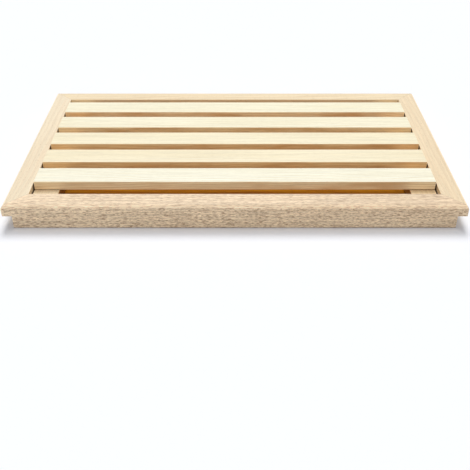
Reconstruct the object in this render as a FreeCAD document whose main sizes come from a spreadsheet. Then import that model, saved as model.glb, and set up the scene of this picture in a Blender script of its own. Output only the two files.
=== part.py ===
import FreeCAD, Part
import math
import os

import Sketcher

# A slatted bread board with a crumb tray.
# Four mitred rails and a thin floor make the tray. A loose grid of slats on two bearers lies in it,
# a little proud of the rails, and lifts out so that the tray can be emptied.
# Millimetres. X runs to the right, Y to the back and Z up. The origin is under the middle of the board.

SIZES = {
    # The frame, outside
    "board_width": 420.0,
    "board_depth": 250.0,
    "rail_width": 21.0,
    "rail_height": 23.5,
    # The lip that the fingers lift by, along the left and the right side
    "lip_thickness": 11.0,
    "grip_depth": 9.0,
    # Edge treatment of the frame
    "round_over": 5.0,
    "corner_round": 0.8,
    "rail_arris": 0.5,
    # The floor of the tray and its groove in the rails
    "floor_thickness": 3.0,
    "floor_lift": 3.0,
    "groove_depth": 5.0,
    "groove_slack": 0.2,
    "floor_play": 0.5,
    # The grid; the slats share out evenly the room that the gaps to the front and back rail leave
    "slat_count": 5,
    "slat_width": 26.0,
    "end_gap": 15.5,
    "slat_thickness": 9.0,
    "slat_proud": 3.7,
    "slat_arris": 0.8,
    "bearer_width": 23.5,
    "bearer_arris": 0.5,
    "grid_clearance": 1.2,
    # Biscuits across the mitres
    "biscuit_radius": 12.0,
    "biscuit_width": 11.0,
    "biscuit_thickness": 2.4,
    "biscuit_play": 0.5,
    # Screws that hold the slats down on the bearers
    "shank_radius": 1.5,
    "head_radius": 3.0,
    "head_height": 2.0,
    "head_edge": 0.7,
    "recess_depth": 3.0,
    "recess_play": 0.5,
    "shank_play": 0.3,
    "screw_bite": 6.0,
    "bite_play": 0.05,
    "tip_length": 2.5,
    "cross_width": 0.9,
    "cross_length": 3.4,
    "cross_depth": 1.1,
}

# Sizes that follow from the ones above
INNER_WIDTH = "(Sizes.board_width - 2 * Sizes.rail_width)"
INNER_DEPTH = "(Sizes.board_depth - 2 * Sizes.rail_width)"
FLOOR_TOP = "(Sizes.floor_lift + Sizes.floor_thickness)"
GROOVE_TOP = f"({FLOOR_TOP} + Sizes.groove_slack)"
LIP_UNDERSIDE = "(Sizes.rail_height - Sizes.lip_thickness)"
LIP_MIDDLE = "(Sizes.rail_height - Sizes.lip_thickness / 2)"
BEARER_TOP = "(Sizes.rail_height + Sizes.slat_proud - Sizes.slat_thickness)"
BEARER_HEIGHT = f"({BEARER_TOP} - {FLOOR_TOP})"
BEARER_LENGTH = f"({INNER_DEPTH} - 2 * Sizes.grid_clearance)"
BEARER_CENTRE = f"({INNER_WIDTH} / 2 - Sizes.grid_clearance - Sizes.bearer_width / 2)"
SLAT_LENGTH = f"({INNER_WIDTH} - 2 * Sizes.grid_clearance)"
SLAT_SPAN = f"({INNER_DEPTH} - 2 * Sizes.end_gap - Sizes.slat_width)"
SLAT_PITCH = f"({SLAT_SPAN} / (Sizes.slat_count - 1))"
CUTTER_OFFSET = "(Sizes.biscuit_radius - Sizes.biscuit_width / 2)"
SHANK_LENGTH = f"({BEARER_HEIGHT} - Sizes.recess_depth + Sizes.screw_bite)"

TOUCH = 1e-6

doc = FreeCAD.newDocument("BreadBoard")
nodes = []


def make_sheet():
    """The spreadsheet that drives the model, one named size to a row."""
    sheet = doc.addObject("Spreadsheet::Sheet", "Sizes")
    for row, (alias, number) in enumerate(SIZES.items(), 1):
        sheet.set(f"A{row}", alias)
        sheet.set(f"B{row}", str(number))
        sheet.setAlias(f"B{row}", alias)
    doc.recompute()
    return sheet


def size(expression):
    """The number that an expression in the sheet's sizes comes to."""
    result = sheet.evalExpression(expression.replace("Sizes.", ""))
    return float(getattr(result, "Value", result))


def place(part, label, east="0", north="0", up="0", turn=0):
    """Names a finished piece and ties its place to the sheet; turn is in degrees about Z."""
    part.Label = label
    part.Placement = FreeCAD.Placement(FreeCAD.Vector(), FreeCAD.Rotation(FreeCAD.Vector(0, 0, 1), turn))
    part.setExpression("Placement.Base.x", east)
    part.setExpression("Placement.Base.y", north)
    part.setExpression("Placement.Base.z", up)
    nodes.append(part)
    return part


def origin_part(body, role):
    """One of the body's own origin planes or axes."""
    return next(item for item in body.Origin.OriginFeatures if item.Role == role)


def new_sketch(body, name, plane, lift="0"):
    """An empty sketch on one of the body's origin planes, lifted off it along the plane's normal."""
    sketch = body.newObject("Sketcher::SketchObject", name)
    sketch.AttachmentSupport = [(origin_part(body, plane), "")]
    sketch.MapMode = "FlatFace"
    sketch.setExpression("AttachmentOffset.Base.z", lift)
    return sketch


def drive(sketch, constraint, expression):
    """Adds a dimension to a sketch and ties it to the sheet."""
    number = sketch.addConstraint(constraint)
    sketch.setExpression(f"Constraints[{number}]", expression)


def pin_point(sketch, curve, end, across, up):
    """Ties one point of a curve to a place in the sketch."""
    drive(sketch, Sketcher.Constraint("DistanceX", -1, 1, curve, end, size(across)), across)
    drive(sketch, Sketcher.Constraint("DistanceY", -1, 1, curve, end, size(up)), up)


def draw_outline(sketch, corners):
    """A closed outline of straight lines through corners, each a pair of expressions."""
    first = sketch.GeometryCount
    points = [FreeCAD.Vector(size(across), size(up), 0) for across, up in corners]
    for start, finish in zip(points, points[1:] + points[:1]):
        sketch.addGeometry(Part.LineSegment(start, finish))
    for step, (across, up) in enumerate(corners):
        following = first + (step + 1) % len(corners)
        sketch.addConstraint(Sketcher.Constraint("Coincident", first + step, 2, following, 1))
        pin_point(sketch, first + step, 1, across, up)


def draw_circle(sketch, across, up, radius):
    """A full circle about a place in the sketch."""
    centre = FreeCAD.Vector(size(across), size(up), 0)
    curve = sketch.addGeometry(Part.Circle(centre, FreeCAD.Vector(0, 0, 1), size(radius)))
    pin_point(sketch, curve, 3, across, up)
    drive(sketch, Sketcher.Constraint("Radius", curve, size(radius)), radius)


def draw_rectangle(sketch, width, depth):
    """A rectangle centred on the sketch's origin."""
    right, back = f"{width} / 2", f"{depth} / 2"
    left, front = f"-{right}", f"-{back}"
    draw_outline(sketch, [(left, front), (right, front), (right, back), (left, back)])


def pad(body, name, sketch, length, both_ways=False):
    """Thickens a sketch by a length, along the plane's normal or half to each side of it."""
    feature = body.newObject("PartDesign::Pad", name)
    feature.Profile = sketch
    feature.SideType = "Symmetric" if both_ways else "One side"
    feature.setExpression("Length", length)
    doc.recompute()
    return feature


def cut(body, name, sketch, depth=None, both_ways=True):
    """Cuts a sketch out, right through when no depth is given. Cuts one way go along the plane's normal."""
    before = body.Shape.Volume
    feature = body.newObject("PartDesign::Pocket", name)
    feature.Profile = sketch
    feature.SideType = "Symmetric" if both_ways else "One side"
    feature.Reversed = not both_ways
    if depth is None:
        feature.Type = "ThroughAll"
    else:
        feature.setExpression("Length", depth)
    doc.recompute()
    if body.Shape.Volume > before - TOUCH:
        raise RuntimeError(f"{name} of {body.Name} cuts nothing")
    return feature


def round_edges(body, name, base, radius, chosen):
    """Rounds the edges of the feature before that the given test chooses."""
    feature = body.newObject("PartDesign::Fillet", name)
    feature.Base = (base, [f"Edge{number}" for number, edge in enumerate(base.Shape.Edges, 1) if chosen(edge)])
    feature.setExpression("Radius", radius)
    doc.recompute()
    return feature


def mirror(body, name, features):
    """Repeats features on the other side of the body's middle plane across X."""
    feature = body.newObject("PartDesign::Mirrored", name)
    feature.Originals = features
    feature.MirrorPlane = (origin_part(body, "YZ_Plane"), [""])
    body.Tip = feature
    doc.recompute()
    return feature


def repeat_per_slat(body, name, features):
    """Repeats features along Y, once under each slat."""
    feature = body.newObject("PartDesign::LinearPattern", name)
    feature.Originals = features
    feature.Direction = (origin_part(body, "Y_Axis"), [""])
    feature.setExpression("Length", SLAT_SPAN)
    feature.setExpression("Occurrences", "Sizes.slat_count")
    body.Tip = feature
    doc.recompute()
    return feature


def runs_along(edge, corner):
    """Whether a rail's edge runs along X at this corner of its section."""
    across, up = size(corner[0]), size(corner[1])
    return all(math.hypot(end.Y - across, end.Z - up) < TOUCH for end in edge.Vertexes)


def above_foot(edge):
    """Whether an edge of a bearer rises above its underside."""
    return edge.BoundBox.ZMax > TOUCH


def rail_section(outer_side):
    """The section of a rail, from its foot round the floor groove to the top and down the outer side."""
    inner_side = [
        ("Sizes.rail_width", "0"),
        ("Sizes.rail_width", "Sizes.floor_lift"),
        ("Sizes.rail_width - Sizes.groove_depth", "Sizes.floor_lift"),
        ("Sizes.rail_width - Sizes.groove_depth", GROOVE_TOP),
        ("Sizes.rail_width", GROOVE_TOP),
        ("Sizes.rail_width", "Sizes.rail_height"),
    ]
    return inner_side + outer_side


def rail_bar(name, length, outer_side):
    """A rail before its ends are cut: X along it, Y from its outer face inwards, Z up, centred along X."""
    body = doc.addObject("PartDesign::Body", name)
    section = new_sketch(body, f"{name}_section", "YZ_Plane")
    draw_outline(section, rail_section(outer_side))
    bar = pad(body, f"{name}_bar", section, length, both_ways=True)
    top_outer = ("0", "Sizes.rail_height")
    eased = [("Sizes.rail_width", "Sizes.rail_height"), ("Sizes.rail_width", "0"), outer_side[-1]]
    rounded = round_edges(
        body, f"{name}_round_over", bar, "Sizes.round_over", lambda edge: runs_along(edge, top_outer)
    )
    round_edges(
        body,
        f"{name}_arris",
        rounded,
        "Sizes.rail_arris",
        lambda edge: any(runs_along(edge, corner) for corner in eased),
    )
    return body


def mitre(body, length):
    """Cuts the end of a rail at 45 degrees, from its outer corner inwards."""
    sketch = new_sketch(body, f"{body.Name}_mitre_line", "XY_Plane")
    end = f"{length} / 2"
    inner_corner = (f"{end} - Sizes.rail_width", "Sizes.rail_width")
    draw_outline(sketch, [(end, "0"), (end, "Sizes.rail_width"), inner_corner])
    return cut(body, f"{body.Name}_mitre", sketch)


def ease_corner(body, length):
    """Rounds the upright outer corner of the frame, as far as the mitre."""
    sketch = new_sketch(body, f"{body.Name}_corner_line", "XY_Plane")
    end = f"{length} / 2"
    start_of_arc = f"{end} - Sizes.corner_round"
    on_mitre = f"{end} - Sizes.corner_round * (1 - sqrt(0.5))"
    radius = size("Sizes.corner_round")
    corner = FreeCAD.Vector(size(end), 0, 0)
    centre = corner + FreeCAD.Vector(-radius, radius, 0)
    circle = Part.Circle(centre, FreeCAD.Vector(0, 0, 1), radius)
    arc = Part.ArcOfCircle(circle, -math.pi / 2, -math.pi / 4)
    face_line = sketch.addGeometry(Part.LineSegment(corner, arc.StartPoint))
    arc_line = sketch.addGeometry(arc)
    mitre_line = sketch.addGeometry(Part.LineSegment(arc.EndPoint, corner))
    sketch.addConstraint(Sketcher.Constraint("Coincident", face_line, 2, arc_line, 1))
    sketch.addConstraint(Sketcher.Constraint("Coincident", arc_line, 2, mitre_line, 1))
    sketch.addConstraint(Sketcher.Constraint("Coincident", mitre_line, 2, face_line, 1))
    pin_point(sketch, face_line, 1, end, "0")
    pin_point(sketch, face_line, 2, start_of_arc, "0")
    pin_point(sketch, arc_line, 3, start_of_arc, "Sizes.corner_round")
    drive(sketch, Sketcher.Constraint("DistanceX", -1, 1, arc_line, 2, size(on_mitre)), on_mitre)
    return cut(body, f"{body.Name}_corner", sketch)


def slot_for_biscuit(body, length):
    """The slot that a round cutter leaves in the mitre for half a biscuit, at the middle of the lip."""
    sketch = new_sketch(body, f"{body.Name}_slot_line", "XY_Plane", LIP_MIDDLE)
    beyond = f"{CUTTER_OFFSET} * sqrt(0.5)"
    across = f"{length} / 2 - Sizes.rail_width / 2 + {beyond}"
    inwards = f"Sizes.rail_width / 2 + {beyond}"
    draw_circle(sketch, across, inwards, "Sizes.biscuit_radius + Sizes.biscuit_play")
    return cut(body, f"{body.Name}_slot", sketch, "Sizes.biscuit_thickness")


def notch_end(body, length):
    """Carries the side rail's grip rebate out through the end of a long rail."""
    sketch = new_sketch(body, f"{body.Name}_notch_line", "XZ_Plane")
    end = f"{length} / 2"
    start = f"{end} - Sizes.grip_depth"
    draw_outline(sketch, [(start, "0"), (end, "0"), (end, LIP_UNDERSIDE), (start, LIP_UNDERSIDE)])
    return cut(body, f"{body.Name}_notch", sketch)


def make_long_rail(label, north, turn):
    """A rail along the front or the back, with a plain outer face."""
    length = "Sizes.board_width"
    outer_side = [("0", "Sizes.rail_height"), ("0", "0")]
    body = rail_bar(label, length, outer_side)
    ends = [mitre(body, length), ease_corner(body, length), slot_for_biscuit(body, length), notch_end(body, length)]
    mirror(body, f"{label}_other_end", ends)
    place(body, label, north=north, turn=turn)


def make_side_rail(label, east, turn):
    """A rail along the left or the right side, rebated under its lip for the fingers."""
    length = "Sizes.board_depth"
    outer_side = [
        ("0", "Sizes.rail_height"),
        ("0", LIP_UNDERSIDE),
        ("Sizes.grip_depth", LIP_UNDERSIDE),
        ("Sizes.grip_depth", "0"),
    ]
    body = rail_bar(label, length, outer_side)
    ends = [mitre(body, length), ease_corner(body, length), slot_for_biscuit(body, length)]
    mirror(body, f"{label}_other_end", ends)
    place(body, label, east=east, turn=turn)


def make_biscuit(label, side, end):
    """A lens-shaped biscuit across the mitre at one corner; side and end are -1 or 1 along X and Y."""
    east = f"{side} * (Sizes.board_width - Sizes.rail_width) / 2"
    north = f"{end} * (Sizes.board_depth - Sizes.rail_width) / 2"
    discs = []
    for way in (-1, 1):
        disc = doc.addObject("Part::Cylinder", f"{label}_disc")
        disc.setExpression("Radius", "Sizes.biscuit_radius")
        disc.setExpression("Height", "Sizes.biscuit_thickness")
        disc.setExpression("Placement.Base.x", f"{way * side} * {CUTTER_OFFSET} * sqrt(0.5)")
        disc.setExpression("Placement.Base.y", f"{-way * end} * {CUTTER_OFFSET} * sqrt(0.5)")
        discs.append(disc)
    biscuit = doc.addObject("Part::Common", label)
    biscuit.Base, biscuit.Tool = discs
    place(biscuit, label, east, north, f"{LIP_MIDDLE} - Sizes.biscuit_thickness / 2")


def make_floor():
    """The thin floor of the tray, let into the groove of all four rails."""
    width = f"({INNER_WIDTH} + 2 * (Sizes.groove_depth - Sizes.floor_play))"
    depth = f"({INNER_DEPTH} + 2 * (Sizes.groove_depth - Sizes.floor_play))"
    floor = doc.addObject("Part::Box", "floor_panel")
    floor.setExpression("Length", width)
    floor.setExpression("Width", depth)
    floor.setExpression("Height", "Sizes.floor_thickness")
    place(floor, "floor_panel", f"-{width} / 2", f"-{depth} / 2", "Sizes.floor_lift")


def make_slat(label, place_in_row):
    """A slat from left to right with a blind pilot hole over each bearer; the row counts from the front."""
    body = doc.addObject("PartDesign::Body", label)
    face = new_sketch(body, f"{label}_face", "XY_Plane")
    draw_rectangle(face, SLAT_LENGTH, "Sizes.slat_width")
    blank = pad(body, f"{label}_blank", face, "Sizes.slat_thickness")
    round_edges(body, f"{label}_arris", blank, "Sizes.slat_arris", lambda edge: True)
    centres = new_sketch(body, f"{label}_pilot_line", "XY_Plane")
    draw_circle(centres, BEARER_CENTRE, "0", "Sizes.shank_radius + Sizes.bite_play")
    pilot = cut(body, f"{label}_pilot", centres, "Sizes.screw_bite + Sizes.bite_play", both_ways=False)
    mirror(body, f"{label}_other_pilot", [pilot])
    north = f"({place_in_row} - (Sizes.slat_count - 1) / 2) * {SLAT_PITCH}"
    place(body, label, north=north, up=BEARER_TOP)


def make_bearer(label, side):
    """A cross bearer under one end of the slats, with a recessed screw hole under each of them."""
    body = doc.addObject("PartDesign::Body", label)
    face = new_sketch(body, f"{label}_face", "XY_Plane")
    draw_rectangle(face, "Sizes.bearer_width", BEARER_LENGTH)
    blank = pad(body, f"{label}_blank", face, BEARER_HEIGHT)
    round_edges(body, f"{label}_arris", blank, "Sizes.bearer_arris", above_foot)
    under_first_slat = f"-{SLAT_SPAN} / 2"
    recess_line = new_sketch(body, f"{label}_recess_line", "XY_Plane")
    draw_circle(recess_line, "0", under_first_slat, "Sizes.head_radius + Sizes.recess_play")
    recess = cut(body, f"{label}_recess", recess_line, "Sizes.recess_depth", both_ways=False)
    hole_line = new_sketch(body, f"{label}_hole_line", "XY_Plane")
    draw_circle(hole_line, "0", under_first_slat, "Sizes.shank_radius + Sizes.shank_play")
    hole = cut(body, f"{label}_hole", hole_line)
    repeat_per_slat(body, f"{label}_row", [recess, hole])
    place(body, label, east=f"{side} * {BEARER_CENTRE}", up=FLOOR_TOP)


def make_screws(label, side):
    """The pan-head screws of one bearer, heads down in their recesses, one to a slat."""
    body = doc.addObject("PartDesign::Body", label)
    body.AllowCompound = True
    profile = new_sketch(body, f"{label}_profile", "XZ_Plane")
    head_top = "Sizes.head_height"
    point_top = f"{head_top} + {SHANK_LENGTH}"
    draw_outline(
        profile,
        [
            ("0", "0"),
            ("Sizes.head_radius - Sizes.head_edge", "0"),
            ("Sizes.head_radius", "Sizes.head_edge"),
            ("Sizes.head_radius", head_top),
            ("Sizes.shank_radius", head_top),
            ("Sizes.shank_radius", f"{point_top} - Sizes.tip_length"),
            ("0", point_top),
        ],
    )
    turned = body.newObject("PartDesign::Revolution", f"{label}_turned")
    turned.Profile = profile
    turned.ReferenceAxis = (profile, ["V_Axis"])
    turned.Angle = 360
    doc.recompute()
    cross_line = new_sketch(body, f"{label}_cross_line", "XY_Plane")
    reach, half = "Sizes.cross_length / 2", "Sizes.cross_width / 2"
    arms = [(reach, half), (half, half), (half, reach)]
    corners = arms + [(f"-{up}", across) for across, up in arms]
    corners += [(f"-{across}", f"-{up}") for across, up in arms]
    corners += [(up, f"-{across}") for across, up in arms]
    draw_outline(cross_line, corners)
    cross = cut(body, f"{label}_cross", cross_line, "Sizes.cross_depth", both_ways=False)
    repeat_per_slat(body, f"{label}_row", [turned, cross])
    head_underside = f"{FLOOR_TOP} + Sizes.recess_depth - Sizes.head_height"
    place(body, label, f"{side} * {BEARER_CENTRE}", f"-{SLAT_SPAN} / 2", head_underside)


def check_model():
    """Stops unless every object is sound and every piece is a valid closed solid with a name of its own."""
    doc.recompute()
    for item in doc.Objects:
        if "Invalid" in item.State or "Error" in item.State:
            raise RuntimeError(f"{item.Name} failed: {item.State}")
    for node in nodes:
        if node.Shape.isNull() or not node.Shape.isValid() or not node.Shape.Solids:
            raise RuntimeError(f"{node.Label} has no sound shape")
    if len({node.Label for node in nodes}) != len(nodes):
        raise RuntimeError("two pieces share a name")


def write_pieces():
    """Writes each piece to a file of its own."""
    os.makedirs("parts", exist_ok=True)
    for node in nodes:
        node.Shape.exportStep(f"parts/{node.Label}.step")
        box = node.Shape.BoundBox
        print(
            f"{node.Label}: {len(node.Shape.Solids)} solids, {node.Shape.Volume:.0f} mm3, "
            f"X {box.XMin:.2f} to {box.XMax:.2f}, Y {box.YMin:.2f} to {box.YMax:.2f}, "
            f"Z {box.ZMin:.2f} to {box.ZMax:.2f}"
        )


sheet = make_sheet()

make_long_rail("front_rail", "-Sizes.board_depth / 2", 0)
make_long_rail("back_rail", "Sizes.board_depth / 2", 180)
make_side_rail("left_rail", "-Sizes.board_width / 2", -90)
make_side_rail("right_rail", "Sizes.board_width / 2", 90)

for end_name, end in (("front", -1), ("back", 1)):
    for side_name, side in (("left", -1), ("right", 1)):
        make_biscuit(f"{end_name}_{side_name}_biscuit", side, end)

make_floor()

for place_in_row in range(SIZES["slat_count"]):
    make_slat(f"slat_{place_in_row + 1}", place_in_row)

for side_name, side in (("left", -1), ("right", 1)):
    make_bearer(f"{side_name}_bearer", side)
    make_screws(f"{side_name}_bearer_screws", side)

check_model()
write_pieces()
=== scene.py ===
# %% [markdown]
# # A bread board with a crumb tray
# The board is a low wooden frame with a thin floor, and a loose grid of five slats lies in it.
# All its pieces are straight sawn wood, so their shapes come ready from the frame model. What is left
# to make here is what the eye sees first: the wood itself, the light on it and the view.

import math

import bpy
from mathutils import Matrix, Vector


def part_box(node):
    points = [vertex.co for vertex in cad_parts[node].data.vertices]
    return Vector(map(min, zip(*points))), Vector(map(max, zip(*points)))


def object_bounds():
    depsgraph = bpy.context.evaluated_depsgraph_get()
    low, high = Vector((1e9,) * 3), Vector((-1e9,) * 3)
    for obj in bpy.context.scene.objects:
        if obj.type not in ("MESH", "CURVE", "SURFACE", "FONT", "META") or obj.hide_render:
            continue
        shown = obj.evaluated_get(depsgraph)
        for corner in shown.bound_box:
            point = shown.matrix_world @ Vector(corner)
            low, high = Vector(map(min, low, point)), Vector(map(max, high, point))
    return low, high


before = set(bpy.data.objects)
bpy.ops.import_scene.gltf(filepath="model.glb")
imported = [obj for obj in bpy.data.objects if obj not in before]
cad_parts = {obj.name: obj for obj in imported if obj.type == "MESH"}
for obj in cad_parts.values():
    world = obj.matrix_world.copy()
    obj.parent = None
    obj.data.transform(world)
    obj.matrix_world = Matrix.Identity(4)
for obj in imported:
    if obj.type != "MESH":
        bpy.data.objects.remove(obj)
frame_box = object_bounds()
print("pieces:", ", ".join(sorted(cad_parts)))
print("outer size in mm:", [round(length * 1000, 1) for length in frame_box[1] - frame_box[0]])

# %% [markdown]
# ## Deselecting, and a few sizes to work from
# The frame model arrives selected, and an operator works on whatever is selected, so that is cleared
# first. The sizes below are read from the pieces, because a finish that is measured from the wood
# follows it when the board is made larger.

# %% Sizes read from the pieces
bpy.ops.object.select_all(action="DESELECT")
MM = 0.001
board_low, board_high = frame_box
board_half_width = (board_high.x - board_low.x) / 2
board_half_depth = (board_high.y - board_low.y) / 2
rail_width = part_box("front_rail")[1].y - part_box("front_rail")[0].y
print("rails are", round(rail_width / MM, 1), "mm wide")

# %% [markdown]
# ## The camera
# The board is seen from the middle of its front edge and from above, at arm's length. A lens a little
# longer than a standard one keeps the far rail from shrinking too much. A constraint could aim the
# camera, but it only tips down, with no turn and no roll, so its place and one angle are all it needs.

# %% Camera
CAMERA_PLACE = Vector((0.0002, -0.6614, 0.3650))
CAMERA_LOOKS_DOWN = 34.81
LENS_MM = 54.57
SENSOR_MM = 36
NEAREST_SEEN = 10 * MM
camera_data = bpy.data.cameras.new("camera")
camera_data.lens = LENS_MM
camera_data.sensor_width = SENSOR_MM
camera_data.clip_start = NEAREST_SEEN
camera = bpy.data.objects.new("camera", camera_data)
camera.location = CAMERA_PLACE
camera.rotation_euler = (math.radians(90 - CAMERA_LOOKS_DOWN), 0, 0)
bpy.context.scene.collection.objects.link(camera)
bpy.context.scene.camera = camera
bpy.context.scene.view_settings.view_transform = "Standard"
print("camera stands", round((board_low.y - CAMERA_PLACE.y) / MM), "mm in front of the board")

# %% [markdown]
# ## Building with shader nodes in code
# Every finish below is a tree of shader nodes. Such a tree could be drawn by hand in the editor, but
# in code it can be read, repeated and changed in one place. Each helper takes either a socket or a
# plain number for every value, so that a formula reads from the inside out.

# %% Helpers: adding and linking nodes
def connect(tree, value, socket):
    """Links a socket to an input, or sets the input when value is a plain number or colour."""
    if isinstance(value, bpy.types.NodeSocket):
        tree.links.new(value, socket)
    else:
        socket.default_value = value


def add_node(tree, kind, settings=None, **inputs):
    """A new node; settings are its properties, and inputs are sockets or values by input name."""
    node = tree.nodes.new(kind)
    for name, value in (settings or {}).items():
        setattr(node, name, value)
    for name, value in inputs.items():
        connect(tree, value, node.inputs[name.replace("_", " ")])
    return node


print("helpers for nodes are ready")

# %% [markdown]
# ## Arithmetic on numbers, vectors and colours
# Most nodes in a wood are plain arithmetic. A Math node works on numbers and a Vector Math node on
# three at once, which suits both places and colours.

# %% Helpers: arithmetic
def maths(tree, operation, *operands):
    """The result of one Math node."""
    node = add_node(tree, "ShaderNodeMath", {"operation": operation})
    for number, value in enumerate(operands):
        connect(tree, value, node.inputs[number])
    return node.outputs[0]


def centred(tree, value):
    """A value that lay about one half, moved to lie about nought."""
    return maths(tree, "SUBTRACT", value, 0.5)


def vector_maths(tree, operation, *operands):
    """The result of one Vector Math node."""
    node = add_node(tree, "ShaderNodeVectorMath", {"operation": operation})
    for number, value in enumerate(operands):
        connect(tree, value, node.inputs[number])
    return node.outputs["Value" if operation == "DOT_PRODUCT" else "Vector"]


def scaled(tree, vector, factor):
    """A vector or a colour times one number."""
    node = add_node(tree, "ShaderNodeVectorMath", {"operation": "SCALE"}, Scale=factor)
    connect(tree, vector, node.inputs[0])
    return node.outputs["Vector"]


print("helpers for arithmetic are ready")

# %% [markdown]
# ## Masks, noise and mixing
# A mask is a value from nought to one that says where a finish shows, and a ramp turns any measure
# into one with soft ends. Wood is far finer across the grain than along it, so its noise is made on
# coordinates that are stretched: the two numbers say about how many waves there are to the metre.
# Mixing with MULTIPLY darkens a colour as a stain does, and lets the grain show through.

# %% Helpers: masks, noise and mixing
def ramp(tree, value, start, finish, low=0.0, high=1.0):
    """Goes smoothly from low to high while value goes from start to finish."""
    names = {"Value": value, "From Min": start, "From Max": finish, "To Min": low, "To Max": high}
    node = add_node(tree, "ShaderNodeMapRange", {"interpolation_type": "SMOOTHSTEP"})
    for name, number in names.items():
        connect(tree, number, node.inputs[name])
    return node.outputs["Result"]


def stretch(tree, vector, along, across):
    """Coordinates scaled by one factor along the grain, which is X, and by another across it."""
    return vector_maths(tree, "MULTIPLY", vector, (along, across, across))


def noise(tree, vector, scale, detail=2.0, output="Fac"):
    """Smooth noise about one half. Its Color output holds three different noises."""
    node = add_node(tree, "ShaderNodeTexNoise", Vector=vector, Scale=scale, Detail=detail)
    return node.outputs[output]


def grained(tree, vector, along, across, detail=2.0, output="Fac"):
    """Noise with about this many waves to the metre along the grain and across it."""
    return noise(tree, stretch(tree, vector, along, across), 1.0, detail, output)


def mix_colours(tree, share, first, second, blend="MIX"):
    """first where share is 0, second where it is 1, or first times second with MULTIPLY."""
    node = add_node(tree, "ShaderNodeMix", {"data_type": "RGBA", "blend_type": blend})
    for number, value in ((0, share), (6, first), (7, second)):
        connect(tree, value, node.inputs[number])
    return node.outputs[2]


print("helpers for masks, noise and mixing are ready")

# %% [markdown]
# ## Node groups
# Every board of this object needs rings, pores and worn edges, only with other values. Copying the
# nodes into each material would do it, but a group is built once, gets named inputs and outputs, and
# is then placed like any other node.

# %% Helpers: node groups
def new_group(name, inputs, outputs):
    """An empty node group with named sockets. Gives the group, its inputs and its outputs."""
    group = bpy.data.node_groups.new(name, "ShaderNodeTree")
    for label, kind, value in inputs:
        socket = group.interface.new_socket(label, in_out="INPUT", socket_type=f"NodeSocket{kind}")
        if value is not None:
            socket.default_value = value
    for label, kind in outputs:
        group.interface.new_socket(label, in_out="OUTPUT", socket_type=f"NodeSocket{kind}")
    entry = group.nodes.new("NodeGroupInput")
    way_out = group.nodes.new("NodeGroupOutput")
    return group, entry.outputs, way_out.inputs


def use_group(tree, group, values):
    """Places a group in a tree with these values, and gives its outputs."""
    node = add_node(tree, "ShaderNodeGroup", {"node_tree": group})
    for label, value in values.items():
        connect(tree, value, node.inputs[label])
    return node.outputs


print("helpers for node groups are ready")

# %% [markdown]
# ## Growth rings
# A plank is a slice out of a trunk, and its figure is where the saw met the yearly rings. So the
# rings are not drawn on the faces: they are cylinders about the pith, the middle of the trunk, and
# fill all of space. The pith runs along X, to the side of the piece. A face that the cylinders run
# into at a shallow angle then gets wide arches, one they cross steeply gets straight lines, and the
# end grain gets arcs, all from one formula. Slow noise makes the rings wander, and each ring goes
# gently from pale early wood to dark late wood and back at once. No two years are alike, so the group
# also gives each ring a random number of its own.

# %% Group: growth rings
SLOW_WANDER, QUICK_WANDER = 9 * MM, 0.9 * MM
rings, given, result = new_group(
    "growth rings",
    [("Vector", "Vector", None), ("Ring Width", "Float", 2 * MM)],
    [("Late Wood", "Float"), ("Year", "Float")],
)
place = add_node(rings, "ShaderNodeSeparateXYZ", Vector=given["Vector"])
across_squared = maths(rings, "MULTIPLY", place.outputs["Y"], place.outputs["Y"])
down_squared = maths(rings, "MULTIPLY", place.outputs["Z"], place.outputs["Z"])
from_pith = maths(rings, "SQRT", maths(rings, "ADD", across_squared, down_squared))
slow = centred(rings, grained(rings, given["Vector"], along=5, across=40))
quick = centred(rings, grained(rings, given["Vector"], along=22, across=260))
wander = maths(
    rings, "ADD", maths(rings, "MULTIPLY", slow, SLOW_WANDER), maths(rings, "MULTIPLY", quick, QUICK_WANDER)
)
years = maths(rings, "DIVIDE", maths(rings, "ADD", from_pith, wander), given["Ring Width"])
within_year = maths(rings, "FRACT", years)
rise = ramp(rings, within_year, start=0.25, finish=0.9)
fall = ramp(rings, within_year, start=0.92, finish=1.0, low=1.0, high=0.0)
connect(rings, maths(rings, "MULTIPLY", rise, fall), result["Late Wood"])
whole_years = maths(rings, "FLOOR", years)
this_year = add_node(rings, "ShaderNodeTexWhiteNoise", {"noise_dimensions": "1D"}, W=whole_years)
connect(rings, this_year.outputs["Value"], result["Year"])
print("made the group", rings.name)

# %% [markdown]
# ## Fibres and flecks
# Between the rings, wood is a bundle of fibres, hair-fine across and long along the grain: noise that
# is squeezed across and stretched along. Flecks are the short dark clusters that make this wood look
# coarse. One noise could only make blots, so a noise of patches is multiplied by a finer one of
# hairs, and each patch falls apart into a few short dashes.

# %% Group: fibres
HAIR_CONTRAST, BETWEEN_HAIRS = 1.1, 0.45
fibres, given, result = new_group(
    "fibres", [("Vector", "Vector", None)], [("Fine", "Float"), ("Streak", "Float"), ("Fleck", "Float")]
)
connect(fibres, grained(fibres, given["Vector"], along=90, across=2400, detail=3.0), result["Fine"])
connect(fibres, grained(fibres, given["Vector"], along=14, across=420), result["Streak"])
patch_noise = grained(fibres, given["Vector"], along=180, across=1250, detail=2.5)
patches = ramp(fibres, patch_noise, start=0.44, finish=0.62)
hair_noise = grained(fibres, given["Vector"], along=110, across=4800)
hairs = ramp(fibres, hair_noise, start=0.40, finish=0.60)
dashes = maths(fibres, "MULTIPLY_ADD", hairs, HAIR_CONTRAST, BETWEEN_HAIRS)
connect(fibres, maths(fibres, "MULTIPLY", patches, dashes), result["Fleck"])
print("made the group", fibres.name)

# %% [markdown]
# ## Pores
# The pores are the vessels that carried the water. Cut along, each is a short dark dash, and cut
# across, a dot. Noise has no such separate marks, but a Voronoi texture on stretched coordinates
# gives one long cell for each vessel. Each cell also has a random colour: its red decides whether
# the cell is a pore at all, and its green how wide the pore is.

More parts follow.
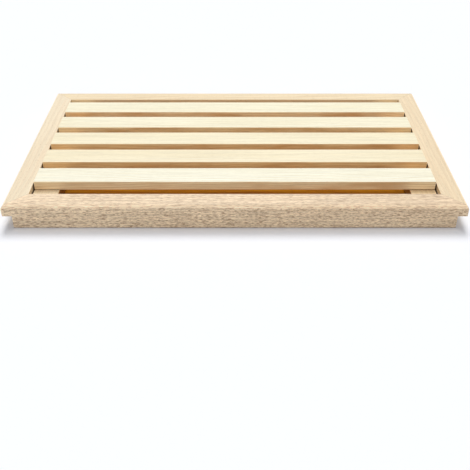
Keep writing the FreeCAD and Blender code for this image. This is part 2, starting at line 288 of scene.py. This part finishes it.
# %% Group: pores
NARROWEST, WIDER = 0.2, 0.22
pores, given, result = new_group(
    "pores",
    [("Vector", "Vector", None), ("Size", "Float", 1.0), ("Share", "Float", 0.5)],
    [("Pore", "Float")],
)
long_cells = stretch(pores, given["Vector"], along=170, across=1900)
sized = scaled(pores, long_cells, maths(pores, "DIVIDE", 1.0, given["Size"]))
cells = add_node(pores, "ShaderNodeTexVoronoi", Vector=sized, Scale=1.0, Randomness=1.0)
chance = add_node(pores, "ShaderNodeSeparateColor", Color=cells.outputs["Color"])
is_pore = maths(pores, "LESS_THAN", chance.outputs["Red"], given["Share"])
reach = maths(pores, "MULTIPLY_ADD", chance.outputs["Green"], WIDER, NARROWEST)
from_core = maths(pores, "DIVIDE", cells.outputs["Distance"], reach)
core = ramp(pores, from_core, start=0.6, finish=1.0, low=1.0, high=0.0)
connect(pores, maths(pores, "MULTIPLY", core, is_pore), result["Pore"])
print("made the group", pores.name)

# %% [markdown]
# ## Eased edges
# A sanded edge is handled and rubbed more than the flat beside it. Such wear could be painted on, but
# it would have to be painted again after each change of shape. The Bevel node gives the normal that a
# rounder edge would have, and where that differs from the real normal there is an edge nearby. The
# group turns the difference into a mask, and noise breaks it up.

# %% Group: eased edges
edges, given, result = new_group(
    "eased edges", [("Vector", "Vector", None), ("Reach", "Float", 1 * MM)], [("Edge", "Float")]
)
rounder = add_node(edges, "ShaderNodeBevel", {"samples": 4}, Radius=given["Reach"])
surface = add_node(edges, "ShaderNodeNewGeometry")
alike = vector_maths(edges, "DOT_PRODUCT", rounder.outputs["Normal"], surface.outputs["Normal"])
near = ramp(edges, alike, start=0.995, finish=0.8)
broken = grained(edges, given["Vector"], along=120, across=300, detail=3.0)
connect(edges, maths(edges, "MULTIPLY", near, ramp(edges, broken, start=0.3, finish=0.6)), result["Edge"])
print("made the group", edges.name)

# %% [markdown]
# ## Painted shade in crevices
# In the gap between the loose grid and the frame, and where a slat rests on a bearer, the wood is
# painted darker and rougher. This is painted shade, laid where shade falls. The Ambient Occlusion
# node feels for other surfaces close by. It is used twice. Over four millimetres an open corner still
# leaves half of the space free, so only what is well under half counts, which is the gaps. Over one
# and a half millimetres corners count as well, and that draws a thin painted shadow line where two
# pieces touch.

# %% Group: painted crevice shade
GAP_REACH, CORNER_REACH = 4 * MM, 1.6 * MM
CORNER_STRENGTH = 0.8
painted_crevice_shade, given, result = new_group(
    "painted_crevice_shade",
    [("Reach", "Float", GAP_REACH), ("Corner Reach", "Float", CORNER_REACH)],
    [("Crevice", "Float")],
)
# Masks for painted shade: the gaps, and a thin line in touching corners
nearby = add_node(painted_crevice_shade, "ShaderNodeAmbientOcclusion", {"samples": 8}, Distance=given["Reach"])
gap = ramp(painted_crevice_shade, nearby.outputs["AO"], start=0.47, finish=0.15)
touching = add_node(painted_crevice_shade, "ShaderNodeAmbientOcclusion", {"samples": 8}, Distance=given["Corner Reach"])
corner = ramp(painted_crevice_shade, touching.outputs["AO"], start=0.72, finish=0.42, high=CORNER_STRENGTH)
connect(painted_crevice_shade, maths(painted_crevice_shade, "MAXIMUM", gap, corner), result["Crevice"])
print("made the group", painted_crevice_shade.name)

# %% [markdown]
# ## Glue lines
# The rails meet in mitres, glued at 45 degrees. However well they fit, a hair of glue shows where
# they meet. Four thin pieces could be modelled for it, but the line runs where a point is as far in
# from the side of the board as from its front or back, so one subtraction finds it in all corners.

# %% Group: glue lines
GLUE_CORE, GLUE_EDGE = 0.08 * MM, 0.22 * MM
glue, given, result = new_group("glue lines", [("Vector", "Vector", None)], [("Line", "Float")])
spot = add_node(glue, "ShaderNodeSeparateXYZ", Vector=given["Vector"])
from_side = maths(glue, "SUBTRACT", board_half_width, maths(glue, "ABSOLUTE", spot.outputs["X"]))
from_end = maths(glue, "SUBTRACT", board_half_depth, maths(glue, "ABSOLUTE", spot.outputs["Y"]))
apart = maths(glue, "ABSOLUTE", maths(glue, "SUBTRACT", from_side, from_end))
on_line = ramp(glue, apart, start=GLUE_CORE, finish=GLUE_EDGE, low=1.0, high=0.0)
on_rail = maths(glue, "LESS_THAN", from_side, rail_width + 1 * MM)
connect(glue, maths(glue, "MULTIPLY", on_line, on_rail), result["Line"])
print("made the group", glue.name)

# %% [markdown]
# ## A sawn board
# The groups come together in one: coordinates in the trunk go in, and the colour, the roughness and
# the height of a board's face come out. Each board then only needs its two wood tones, how strongly
# its rings and pores show, and where in the trunk it was cut. The first cell names the group's
# sockets, and the next five fill it, in the order in which a board gets its looks.

# %% Group: sawn board
board, given, result = new_group(
    "sawn board",
    [
        ("Vector", "Vector", None),
        ("Early Wood", "Color", (0.8, 0.65, 0.45, 1)),
        ("Late Wood", "Color", (0.7, 0.5, 0.3, 1)),
        ("Pore Colour", "Color", (0.3, 0.2, 0.1, 1)),
        ("Ring Width", "Float", 2 * MM),
        ("Ring Strength", "Float", 0.5),
        ("Pore Size", "Float", 1.0),
        ("Pore Share", "Float", 0.4),
        ("Pore Depth", "Float", 0.5),
        ("Fibre Strength", "Float", 0.1),
        ("Fleck Strength", "Float", 0.0),
        ("Tone", "Float", 0.0),
        ("End Grain", "Float", 0.0),
        ("Sawn Side", "Float", 0.0),
        ("Side Colour", "Color", (0.7, 0.5, 0.3, 1)),
        ("Slant", "Float", 1.0),
    ],
    [("Color", "Color"), ("Roughness", "Float"), ("Height", "Float")],
)
print("the group", board.name, "has", len(board.interface.items_tree), "sockets")

# %% [markdown]
# ## The board's rings, fibres and pores
# No trunk grows dead straight, so the coordinates first sway a few millimetres to and fro. Where the
# saw cut through the fibres at a slant, their cut ends are shorter: Slant shortens the fibres and
# pores along the grain. Pores come in two sizes, and the large ones stand closest in the flecks.

# %% Sawn board: rings, fibres and pores
SWAY = 8 * MM
FLECKED_PORES, PLAIN_PORES = 1.3, 0.25
SMALL_PORE = 0.5
slow_noise = grained(board, given["Vector"], along=5, across=9, detail=1.0, output="Color")
to_and_fro = vector_maths(board, "SUBTRACT", slow_noise, (0.5, 0.5, 0.5))
trunk = vector_maths(board, "MULTIPLY_ADD", to_and_fro, (0, SWAY, SWAY), given["Vector"])
ring = use_group(board, rings, {"Vector": trunk, "Ring Width": given["Ring Width"]})
shorten = add_node(board, "ShaderNodeCombineXYZ", X=given["Slant"], Y=1.0, Z=1.0)
cut_fibres = vector_maths(board, "MULTIPLY", trunk, shorten.outputs[0])
fibre = use_group(board, fibres, {"Vector": cut_fibres})
clumps = maths(board, "MULTIPLY_ADD", fibre["Fleck"], FLECKED_PORES, PLAIN_PORES)
clumped = maths(board, "MULTIPLY", given["Pore Share"], clumps)
large = use_group(board, pores, {"Vector": cut_fibres, "Size": given["Pore Size"], "Share": clumped})
small_size = maths(board, "MULTIPLY", given["Pore Size"], SMALL_PORE)
small = use_group(board, pores, {"Vector": cut_fibres, "Size": small_size, "Share": given["Pore Share"]})
print("the board has", len(board.nodes), "nodes for its rings, fibres and pores")

# %% [markdown]
# ## The tone of a planed face
# A planed face goes from the early to the late wood's tone with the rings, some years more strongly
# than others. Broad faint clouds and a slow drift along the board keep it from looking printed.

# %% Sawn board: planed faces
FAINTEST_YEAR = 0.6
CLOUD_STRENGTH, CLOUD_MIDDLE = 0.9, -0.35
year_tone = maths(board, "MULTIPLY_ADD", ring["Year"], 1.0 - FAINTEST_YEAR, FAINTEST_YEAR)
ring_tone = maths(board, "MULTIPLY", ring["Late Wood"], year_tone)
ring_tone = maths(board, "MULTIPLY", ring_tone, given["Ring Strength"])
cloud = grained(board, trunk, along=7, across=60, detail=3.0)
clouded = maths(board, "MULTIPLY_ADD", cloud, CLOUD_STRENGTH, CLOUD_MIDDLE)
darkness = maths(board, "ADD", maths(board, "ADD", ring_tone, clouded), given["Tone"])
toned = mix_colours(board, darkness, given["Early Wood"], given["Late Wood"])
print("the planed faces have", len(board.nodes), "nodes so far")

# %% [markdown]
# ## Sawn sides and end grain
# The narrow sides come straight from the saw. They soak up more oil, in blotches and along the late
# wood, so they are stained there. A face cut across the grain soaks up light between its open
# vessels, so end grain is darker still. Both could be materials of their own, but the face's
# direction is enough to tell them apart, and then one material covers the whole piece.

# %% Sawn board: sawn sides and end grain
SIDE_STAIN = (0.74, 0.58, 0.44, 1)
END_GRAIN_STAIN = (0.62, 0.49, 0.36, 1)
BLOTCH_STRENGTH, SIDE_LINE_STRENGTH = 0.95, 0.65
blotch_noise = grained(board, trunk, along=16, across=90)
blotches = maths(board, "MULTIPLY", ramp(board, blotch_noise, start=0.40, finish=0.68), BLOTCH_STRENGTH)
side_lines = maths(board, "MULTIPLY", ring["Late Wood"], SIDE_LINE_STRENGTH)
side_share = maths(board, "MAXIMUM", blotches, side_lines)
side_tone = mix_colours(board, side_share, given["Side Colour"], SIDE_STAIN, "MULTIPLY")
toned = mix_colours(board, given["Sawn Side"], toned, side_tone)
toned = mix_colours(board, given["End Grain"], toned, END_GRAIN_STAIN, "MULTIPLY")
print("sides and ends are stained with", SIDE_STAIN[:3], "and", END_GRAIN_STAIN[:3])

# %% [markdown]
# ## Flecks, fibres and pores in the colour
# The flecks are a warm red-brown, as the walls of the vessels are, because a plain grey darkening
# looks olive on pale wood. The fibres only make the wood a little lighter and darker. The open pores
# come last, since they are holes in all the rest.

# %% Sawn board: flecks, fibres and pores in the colour
FLECK_STAIN = (0.2, 0.06, 0.0, 1)
SMALL_PORE_STRENGTH = 0.7
fleck_share = maths(board, "MULTIPLY", fibre["Fleck"], given["Fleck Strength"])
flecked = mix_colours(board, fleck_share, toned, FLECK_STAIN, "MULTIPLY")
both_fibres = maths(board, "ADD", centred(board, fibre["Fine"]), centred(board, fibre["Streak"]))
shaded = scaled(board, flecked, maths(board, "MULTIPLY_ADD", both_fibres, given["Fibre Strength"], 1.0))
pore = maths(board, "MAXIMUM", large["Pore"], maths(board, "MULTIPLY", small["Pore"], SMALL_PORE_STRENGTH))
pore_mask = maths(board, "MULTIPLY", pore, given["Pore Depth"])
connect(board, mix_colours(board, pore_mask, shaded, given["Pore Colour"]), result["Color"])
print("the colour of", board.name, "takes", len(board.nodes), "nodes")

# %% [markdown]
# ## The board's roughness and height
# Oiled wood is fairly matt. The dense late wood shines a little more, and pores and end grain less.
# The height is for a Bump node: fibres and late wood stand up slightly, and the pores are pits.

# %% Sawn board: roughness and height
OILED_ROUGHNESS, FIBRE_ROUGHER = 0.5, 0.14
LATE_WOOD_SMOOTHER, PORE_ROUGHER, END_GRAIN_ROUGHER = -0.05, 0.2, 0.15
FIBRE_HEIGHT, LATE_WOOD_HEIGHT = 0.25, 0.2
rough = maths(board, "MULTIPLY_ADD", fibre["Fine"], FIBRE_ROUGHER, OILED_ROUGHNESS)
rough = maths(board, "MULTIPLY_ADD", ring["Late Wood"], LATE_WOOD_SMOOTHER, rough)
rough = maths(board, "MULTIPLY_ADD", pore_mask, PORE_ROUGHER, rough)
rough = maths(board, "MULTIPLY_ADD", given["End Grain"], END_GRAIN_ROUGHER, rough)
connect(board, rough, result["Roughness"])
standing = maths(board, "MULTIPLY", ring["Late Wood"], LATE_WOOD_HEIGHT)
height = maths(board, "MULTIPLY_ADD", both_fibres, FIBRE_HEIGHT, standing)
connect(board, maths(board, "SUBTRACT", height, pore), result["Height"])
print("made the group", board.name)

# %% [markdown]
# ## Where in the trunk a piece was cut
# A Mapping node takes the piece's own coordinates into the trunk: it turns the grain along the piece
# and moves the piece off the pith. The piece itself isn't moved. The direction that a face points in
# says whether it shows end grain or is a narrow sawn side, and how far it faces up.

# %% Functions: place in the trunk, and kinds of face
def place_in_trunk(tree, along, pith, tilt, shift):
    """A piece's coordinates in its trunk. pith is where the trunk's middle lies, across and down."""
    own = add_node(tree, "ShaderNodeTexCoord").outputs["Object"]
    turn = 0.0 if along == "X" else math.pi / 2
    mapping = add_node(tree, "ShaderNodeMapping", Vector=own)
    mapping.inputs["Rotation"].default_value = (0, tilt[1], -turn + tilt[0])
    mapping.inputs["Location"].default_value = (shift, pith[0], pith[1])
    return mapping.outputs[0]


def kinds_of_face(tree, end_axis, side_axis):
    """How far a face points up, and masks for end grain and for the narrow sides."""
    normal = add_node(tree, "ShaderNodeTexCoord").outputs["Normal"]
    facing = add_node(tree, "ShaderNodeSeparateXYZ", Vector=normal)
    to_end = maths(tree, "ABSOLUTE", facing.outputs[end_axis])
    to_side = maths(tree, "ABSOLUTE", facing.outputs[side_axis])
    end_grain = ramp(tree, to_end, start=0.7, finish=0.95)
    narrow_side = ramp(tree, to_side, start=0.6, finish=0.95)
    return facing.outputs["Z"], end_grain, narrow_side


print("functions for places and faces are ready")

# %% [markdown]
# ## Wear, painted highlight and painted shade
# Three things are laid over the sawn wood. Rubbed edges go back to the pale early wood and shine a
# little more. Faces that slope up, as the rails' round-overs do, get a painted highlight and are paler.
# Gaps and corners get painted shade, brown and rougher. They are laid over the board's colour in that
# order, in each material's own tree, and the two groups give their masks.

# %% Function: wear, painted highlight and painted shade
RUBBED_SHARE, FRESH_WOOD = 0.35, 1.08
HIGHLIGHT_PALER = 0.34
CREVICE_PAINTED_SHADE = (0.16, 0.06, 0.01, 1)
EDGE_SMOOTHER, CREVICE_ROUGHER = -0.12, 0.35


def add_wear_and_painted_light(tree, trunk, upwards, early, colour, rough):
    """The colour and the roughness of a board's face after use, with a painted highlight on upward slopes
    and painted shade in gaps and corners.
    """
    worn = use_group(tree, edges, {"Vector": trunk})["Edge"]
    fresh = (*[min(1, FRESH_WOOD * part) for part in early], 1)
    colour = mix_colours(tree, maths(tree, "MULTIPLY", worn, RUBBED_SHARE), colour, fresh)
    # Painted highlight: faces that slope up are made paler, as where the light falls on them
    not_level = ramp(tree, upwards, start=0.98, finish=0.72)
    painted_highlight = maths(tree, "MULTIPLY", ramp(tree, upwards, start=0.34, finish=0.44), not_level)
    colour = scaled(tree, colour, maths(tree, "MULTIPLY_ADD", painted_highlight, HIGHLIGHT_PALER, 1.0))
    # Painted shade: gaps and corners are darkened and made rougher
    painted_shade = use_group(tree, painted_crevice_shade, {})["Crevice"]
    colour = mix_colours(tree, painted_shade, colour, CREVICE_PAINTED_SHADE, "MULTIPLY")
    rough = maths(tree, "MULTIPLY_ADD", worn, EDGE_SMOOTHER, rough)
    return colour, maths(tree, "MULTIPLY_ADD", painted_shade, CREVICE_ROUGHER, rough)


print("the function for wear is ready")

# %% [markdown]
# ## A figure that changes over the piece
# Most values of a board are the same all over it, but a few boards need more. Drift makes one end
# darker than the other. A calm top has fainter pores and flecks on the upper side. Slant shortens the
# fibres on the faces that don't look up.

# %% Function: changing figure
FACES_UP = 0.4


def vary_figure(tree, figure, upwards, lengthwise, drift, calm_top, slant):
    """The sawn board's values by socket name, with those that change over the piece."""
    if drift:
        figure["tone"] = maths(tree, "MULTIPLY", lengthwise, drift)
    if calm_top:
        calm = ramp(tree, upwards, start=0.2, finish=0.8, low=1.0, high=1.0 - calm_top)
        for label in ("pore_depth", "fleck_strength"):
            figure[label] = maths(tree, "MULTIPLY", calm, figure[label])
    if slant != 1.0:
        steep = maths(tree, "LESS_THAN", upwards, FACES_UP)
        figure["slant"] = maths(tree, "MULTIPLY_ADD", steep, slant - 1.0, 1.0)
    return {label.replace("_", " ").title(): value for label, value in figure.items()}


print("the function for a changing figure is ready")

# %% [markdown]
# ## One material for each board
# One material for the whole object would be simpler, but its grain would run straight through the
# joints. No two pieces are cut from the same place, so each gets a material of its own, made by one
# function. A side colour is for boards whose sides were left sawn, and mitred pieces get the glue
# line. The Principled shader stays in the material, and a Bump node turns the board's height into
# its normal.

# %% Function: wood material
GLUE_BROWN = (0.30, 0.19, 0.10, 1)
GLUE_STRENGTH = 0.75
BUMP_STRENGTH, BUMP_HEIGHT = 0.6, 0.06 * MM


def make_wood(
    name, along, pith, early, late, tilt=(0.0, 0.0), shift=0.0, side=None, drift=0.0, mitred=False,
    calm_top=0.0, slant=1.0, **figure,
):
    """A wood material. along is X or Y, and figure holds the sawn board's values by name."""
    material = bpy.data.materials.new(name)
    material.use_nodes = True
    tree = material.node_tree
    shader = tree.nodes["Principled BSDF"]
    own = add_node(tree, "ShaderNodeTexCoord").outputs["Object"]
    position = add_node(tree, "ShaderNodeSeparateXYZ", Vector=own)
    trunk = place_in_trunk(tree, along, pith, tilt, shift)
    end_axis, side_axis = ("X", "Y") if along == "X" else ("Y", "X")
    upwards, end_grain, narrow_side = kinds_of_face(tree, end_axis, side_axis)
    values = vary_figure(tree, figure, upwards, position.outputs[end_axis], drift, calm_top, slant)
    values.update({"Vector": trunk, "Early Wood": (*early, 1), "Late Wood": (*late, 1)})
    values["End Grain"] = end_grain
    if side:
        values["Sawn Side"] = narrow_side
        values["Side Colour"] = (*side, 1)
    wood = use_group(tree, board, values)
    colour, rough = add_wear_and_painted_light(tree, trunk, upwards, early, wood["Color"], wood["Roughness"])
    if mitred:
        line = use_group(tree, glue, {"Vector": own})["Line"]
        colour = mix_colours(tree, maths(tree, "MULTIPLY", line, GLUE_STRENGTH), colour, GLUE_BROWN)
    connect(tree, colour, shader.inputs["Base Color"])
    connect(tree, rough, shader.inputs["Roughness"])
    bump = add_node(
        tree, "ShaderNodeBump", Height=wood["Height"], Strength=BUMP_STRENGTH, Distance=BUMP_HEIGHT
    )
    connect(tree, bump.outputs["Normal"], shader.inputs["Normal"])
    return material


print("the function for wood is ready")

# %% [markdown]
# ## Putting a material on a piece
# The pieces come with plain materials in their slots. Only what is in a slot is exchanged: the piece
# and its mesh stay as they came from the frame model.

# %% Function: finish a piece
def finish_piece(name, material):
    """Puts a material on a piece of the frame model."""
    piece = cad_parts[name]
    for slot in piece.material_slots:
        slot.material = material
    print(name, "is finished in", material.name)


print("the function that finishes a piece is ready")

# %% [markdown]
# ## The front rail
# The rails are rubberwood, a pale peach wood with coarse open pores. The front rail shows them best,
# as short dark dashes over its whole face, and it goes from paler on the left to darker on the right.
# Its face gets shorter dashes than its upper side, and its upper side is calmer.

# %% Front rail
PORE_BROWN = (0.30, 0.19, 0.10, 1)
FRONT_EARLY, FRONT_LATE = (0.93, 0.75, 0.525), (0.75, 0.56, 0.365)
finish_piece("front_rail", make_wood(
    "front rail wood", "X", (0.150, 0.045), FRONT_EARLY, FRONT_LATE, tilt=(0.012, 0.02), drift=1.2,
    mitred=True, calm_top=0.35, slant=1.6, ring_width=2.6 * MM, ring_strength=0.8, fibre_strength=0.6,
    fleck_strength=0.5, pore_colour=PORE_BROWN, pore_size=1.3, pore_share=0.7, pore_depth=0.85,
))

# %% [markdown]
# ## The other rails
# The back rail and the two side rails came from plainer boards of the same wood. The side rails run
# the other way, along Y, so their grain is turned with them and meets the others at the mitres.

# %% Back, left and right rail
BACK_EARLY, BACK_LATE = (0.85, 0.71, 0.475), (0.75, 0.575, 0.35)
LEFT_EARLY, LEFT_LATE = (0.86, 0.735, 0.535), (0.78, 0.62, 0.42)
RIGHT_EARLY, RIGHT_LATE = (0.84, 0.685, 0.46), (0.76, 0.58, 0.365)
plain = {"pore_colour": PORE_BROWN, "pore_size": 0.95, "pore_share": 0.35, "pore_depth": 0.4}
finish_piece("back_rail", make_wood(
    "back rail wood", "X", (-0.080, 0.060), BACK_EARLY, BACK_LATE, tilt=(-0.01, 0.015), shift=1.3,
    mitred=True, ring_width=2.4 * MM, ring_strength=0.7, fibre_strength=0.3, **plain,
))
finish_piece("left_rail", make_wood(
    "left rail wood", "Y", (-0.160, 0.050), LEFT_EARLY, LEFT_LATE, tilt=(0.01, -0.02), shift=2.1,
    mitred=True, ring_width=3.0 * MM, ring_strength=0.6, fibre_strength=0.25, **plain,
))
finish_piece("right_rail", make_wood(
    "right rail wood", "Y", (0.260, 0.040), RIGHT_EARLY, RIGHT_LATE, tilt=(-0.014, 0.015), shift=3.4,
    mitred=True, ring_width=2.8 * MM, ring_strength=0.6, fibre_strength=0.25, **plain,
))

# %% [markdown]
# ## The slats
# The slats are a paler, closer wood, planed smooth on top. Their narrow sides come straight from the
# saw and are warmer and darker. Five different boards could mean five different trees of nodes, but
# here each slat is only moved along the trunk and turned a little, and has its own two tones.

# %% Slats
# For each slat, the tone of its planed top and of its sawn sides
SLAT_TONES = {
    "slat_1": ((0.94, 0.92, 0.765), (0.95, 0.79, 0.52)),
    "slat_2": ((0.93, 0.85, 0.63), (0.86, 0.62, 0.32)),
    "slat_3": ((0.93, 0.86, 0.64), (0.93, 0.69, 0.37)),
    "slat_4": ((0.93, 0.885, 0.685), (0.95, 0.77, 0.46)),
    "slat_5": ((0.93, 0.89, 0.69), (0.98, 0.76, 0.47)),
}
SLAT_PORES = {"pore_colour": (0.5, 0.36, 0.2, 1), "pore_size": 0.9, "pore_share": 0.2, "pore_depth": 0.2}
PITH_ACROSS, PITH_APART = 45 * MM, 13 * MM
PITH_BELOW, PITH_DEEPER = 30 * MM, 6 * MM
MIDDLE_SLAT, TURN_STEP, FIRST_TIP = 2, 0.006, 0.015
ALONG_STEP = 0.7
LATE_SHARE = Vector((0.88, 0.83, 0.72))


def late_wood(early):
    """The late wood's tone, darker and warmer than the early wood's."""
    return [tone * share for tone, share in zip(early, LATE_SHARE)]


for number, (name, (top, side)) in enumerate(SLAT_TONES.items()):
    low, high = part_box(name)
    # Counting in twos round the five keeps neighbours apart in the trunk
    trunk_order = (number * 2) % len(SLAT_TONES)
    across = PITH_ACROSS + PITH_APART * trunk_order - (low.y + high.y) / 2
    down = PITH_BELOW + PITH_DEEPER * number
    tilt = (TURN_STEP * (number - MIDDLE_SLAT), FIRST_TIP - TURN_STEP * number)
    finish_piece(name, make_wood(
        f"{name} wood", "X", (across, down), top, late_wood(top), side=side, tilt=tilt,
        shift=ALONG_STEP * number, ring_width=1.9 * MM, ring_strength=0.95, fibre_strength=0.3,
        fleck_strength=0.05, **SLAT_PORES,
    ))

# %% [markdown]
# ## The bearers
# The two bearers lie across under the slat ends. They are the same wood left plainer. Their sawn
# sides are dark, partly as sawn wood and partly as painted shade for the narrow gaps that they face.

# %% Bearers
BEARER_TONES = {"left_bearer": (0.97, 0.80, 0.55), "right_bearer": (0.88, 0.68, 0.42)}
# The sides' dark tone is partly sawn wood and partly painted shade in the gaps
BEARER_SIDE_AND_SHADE = (0.62, 0.42, 0.21)
for number, (name, top) in enumerate(BEARER_TONES.items()):
    pith = (90 * MM + 50 * MM * number, 50 * MM)
    finish_piece(name, make_wood(
        f"{name} wood", "Y", pith, top, late_wood(top), side=BEARER_SIDE_AND_SHADE, shift=5.0 + number,
        ring_width=2.2 * MM, ring_strength=0.5, fibre_strength=0.2, **plain,
    ))

# %% [markdown]
# ## The tray floor
# The floor is thin plywood, varnished a deep amber. Its face veneer was peeled off a turning log, so
# the knife followed the rings and met each of them again and again: that gives broad, wandering
# bands. The same board group does it with the pith far below and the rings nearly level. The varnish
# is matt and hardly shines between the slats. How much it shines is the same all over, so that is set
# on the shader's own socket.

# %% Tray floor
AMBER_EARLY, AMBER_LATE = (0.67, 0.305, 0.012), (0.52, 0.21, 0.008)
MATT_VARNISH = 0.05
floor_wood = make_wood(
    "tray floor wood", "X", (0.02, 0.240), AMBER_EARLY, AMBER_LATE, tilt=(0.05, 0.01),
    ring_width=1.6 * MM, ring_strength=0.9, fibre_strength=0.3,
    pore_colour=(0.2, 0.1, 0.03, 1), pore_size=1.1, pore_share=0.3, pore_depth=0.4,
)
floor_wood.node_tree.nodes["Principled BSDF"].inputs["Specular IOR Level"].default_value = MATT_VARNISH
finish_piece("floor_panel", floor_wood)

# %% [markdown]
# ## Biscuits
# The four biscuits in the mitres are pressed beech, with the grain across them at a slant. They are
# stamped out of one sheet, so one material does for all.

# %% Biscuits
BEECH_EARLY, BEECH_LATE = (0.72, 0.53, 0.34), (0.60, 0.41, 0.24)
BISCUIT_NAMES = sorted(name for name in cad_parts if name.endswith("_biscuit"))
biscuit_wood = make_wood(
    "biscuit wood", "X", (0.03, 0.02), BEECH_EARLY, BEECH_LATE, tilt=(0.6, 0.0),
    ring_width=1.2 * MM, ring_strength=0.6, fibre_strength=0.4, **plain,
)
for name in BISCUIT_NAMES:
    finish_piece(name, biscuit_wood)

# %% [markdown]
# ## Screws
# The screws are zinc-plated steel. One flat grey would look like plastic. A metal shows what is
# around it in its own colour, which Metallic does, and this plating is bright but not a mirror: fine
# noise makes it a little rougher in places and slightly duller, as from the plating drum.

# %% Screws
DULL_ZINC, BRIGHT_ZINC = (0.62, 0.62, 0.60, 1), (0.74, 0.75, 0.75, 1)
SMOOTHEST_ZINC, SCUFF_ROUGHER = 0.2, 0.25
steel = bpy.data.materials.new("screw steel")
steel.use_nodes = True
tree = steel.node_tree
shader = tree.nodes["Principled BSDF"]
shader.inputs["Metallic"].default_value = 1.0
where = add_node(tree, "ShaderNodeTexCoord").outputs["Object"]
mottle = noise(tree, where, scale=900.0, detail=3.0)
scuffs = noise(tree, where, scale=3500.0)
plated = mix_colours(tree, ramp(tree, mottle, start=0.35, finish=0.65), DULL_ZINC, BRIGHT_ZINC)
connect(tree, plated, shader.inputs["Base Color"])
connect(tree, maths(tree, "MULTIPLY_ADD", scuffs, SCUFF_ROUGHER, SMOOTHEST_ZINC), shader.inputs["Roughness"])
bump = add_node(tree, "ShaderNodeBump", Height=scuffs, Strength=0.3, Distance=0.02 * MM)
connect(tree, bump.outputs["Normal"], shader.inputs["Normal"])
for side in ("left", "right"):
    finish_piece(f"{side}_bearer_screws", steel)

# %% [markdown]
# ## What the eye sees
# The board stands on white, and a white floor and sky would wash the colour out of its lower edges.
# More or less light would change the wood too. The Light Path node tells the rays that the eye
# follows, straight or by way of a reflection, from the rays that only bring light to the wood. So
# floor and sky can be white to look at, and still light the wood as studio grey.

# %% Function: what the eye sees
def seen_by_eye(tree):
    """1 for rays that come from the camera, also off metal or through glass, and 0 for the light."""
    path = add_node(tree, "ShaderNodeLightPath")
    seen = path.outputs["Is Camera Ray"]
    for kind in ("Is Glossy Ray", "Is Transmission Ray"):
        seen = maths(tree, "MAXIMUM", seen, path.outputs[kind])
    return seen


print("the function for what the eye sees is ready")

# %% [markdown]
# ## The floor under the board
# The floor is a wide sheet of paper that catches the shadow, a hair under the board so that the two
# don't lie in one plane. What the eye sees of it is a white with a trace of blue, as bleached paper
# has, and it comes out pure white where nothing shades it.

# %% Floor
FLOOR_HALF = 3.0
FLOOR_DROP = 0.2 * MM
SEEN_WHITE, LIT_GREY = (0.97, 0.99, 1.04, 1), (0.80, 0.80, 0.80, 1)
bpy.ops.mesh.primitive_plane_add(size=2 * FLOOR_HALF, location=(0, 0, board_low.z - FLOOR_DROP))
floor = bpy.context.object
floor.name = "studio_floor"
bpy.ops.object.transform_apply(location=True, rotation=False, scale=False)
paper = bpy.data.materials.new("white paper")
paper.use_nodes = True
tree = paper.node_tree
tree.nodes.remove(tree.nodes["Principled BSDF"])
paper_white = mix_colours(tree, seen_by_eye(tree), LIT_GREY, SEEN_WHITE)
diffuse = add_node(tree, "ShaderNodeBsdfDiffuse", Color=paper_white)
tree.links.new(diffuse.outputs[0], tree.nodes["Material Output"].inputs["Surface"])
floor.data.materials.append(paper)
bpy.ops.object.select_all(action="DESELECT")
print("the floor is", 2 * FLOOR_HALF, "m wide and lies", FLOOR_DROP / MM, "mm under the board")

# %% [markdown]
# ## The sky
# A soft sky from all round gives the flat studio light. The eye sees it white, but its light is a
# little blue, as in the shade outdoors, which keeps the shadows between the slats from looking muddy.

# %% Sky
SKY_STRENGTH = 0.30
SKY_BLUE, WHITE = (0.94, 0.985, 1.06, 1), (1, 1, 1, 1)
world = bpy.data.worlds.new("studio sky")
world.use_nodes = True
bpy.context.scene.world = world
tree = world.node_tree
sky = tree.nodes["Background"]
seen = seen_by_eye(tree)
connect(tree, mix_colours(tree, seen, SKY_BLUE, WHITE), sky.inputs["Color"])
connect(tree, maths(tree, "MULTIPLY_ADD", seen, 1.0 - SKY_STRENGTH, SKY_STRENGTH), sky.inputs["Strength"])
print("the sky lights the board with", SKY_STRENGTH)

# %% [markdown]
# ## The lamps
# Three large soft lamps give the light a direction. One high behind the board leaves the faces
# towards the camera quieter and lays a short soft shadow in front. One nearly overhead, leaning back
# a little, reaches down between the slats. One low in front, like a white card, lifts the front faces
# and hardly touches the shadow. The lamps are a little warm against the blue of the sky. Together
# they are white and light a level surface so that a colour looks as it was written.

# %% Lamps
# Strength, angle up from the horizon behind the board and over to the front, and softness
LAMPS = {
    "back lamp": (1.68, 54, 26),
    "overhead lamp": (0.52, 76, 30),
    "front card": (0.74, 150, 30),
}
LAMP_WARMTH = (1.026, 1.006, 0.974)
level = SKY_STRENGTH
for name, (strength, angle, softness) in LAMPS.items():
    lamp_data = bpy.data.lights.new(name, "SUN")
    lamp_data.energy = strength
    lamp_data.color = LAMP_WARMTH
    lamp_data.angle = math.radians(softness)
    lamp = bpy.data.objects.new(name, lamp_data)
    lamp.rotation_euler = (math.radians(angle - 90), 0, 0)
    bpy.context.scene.collection.objects.link(lamp)
    level += strength / math.pi * math.sin(math.radians(angle))
print("light on a level face:", round(level, 2))
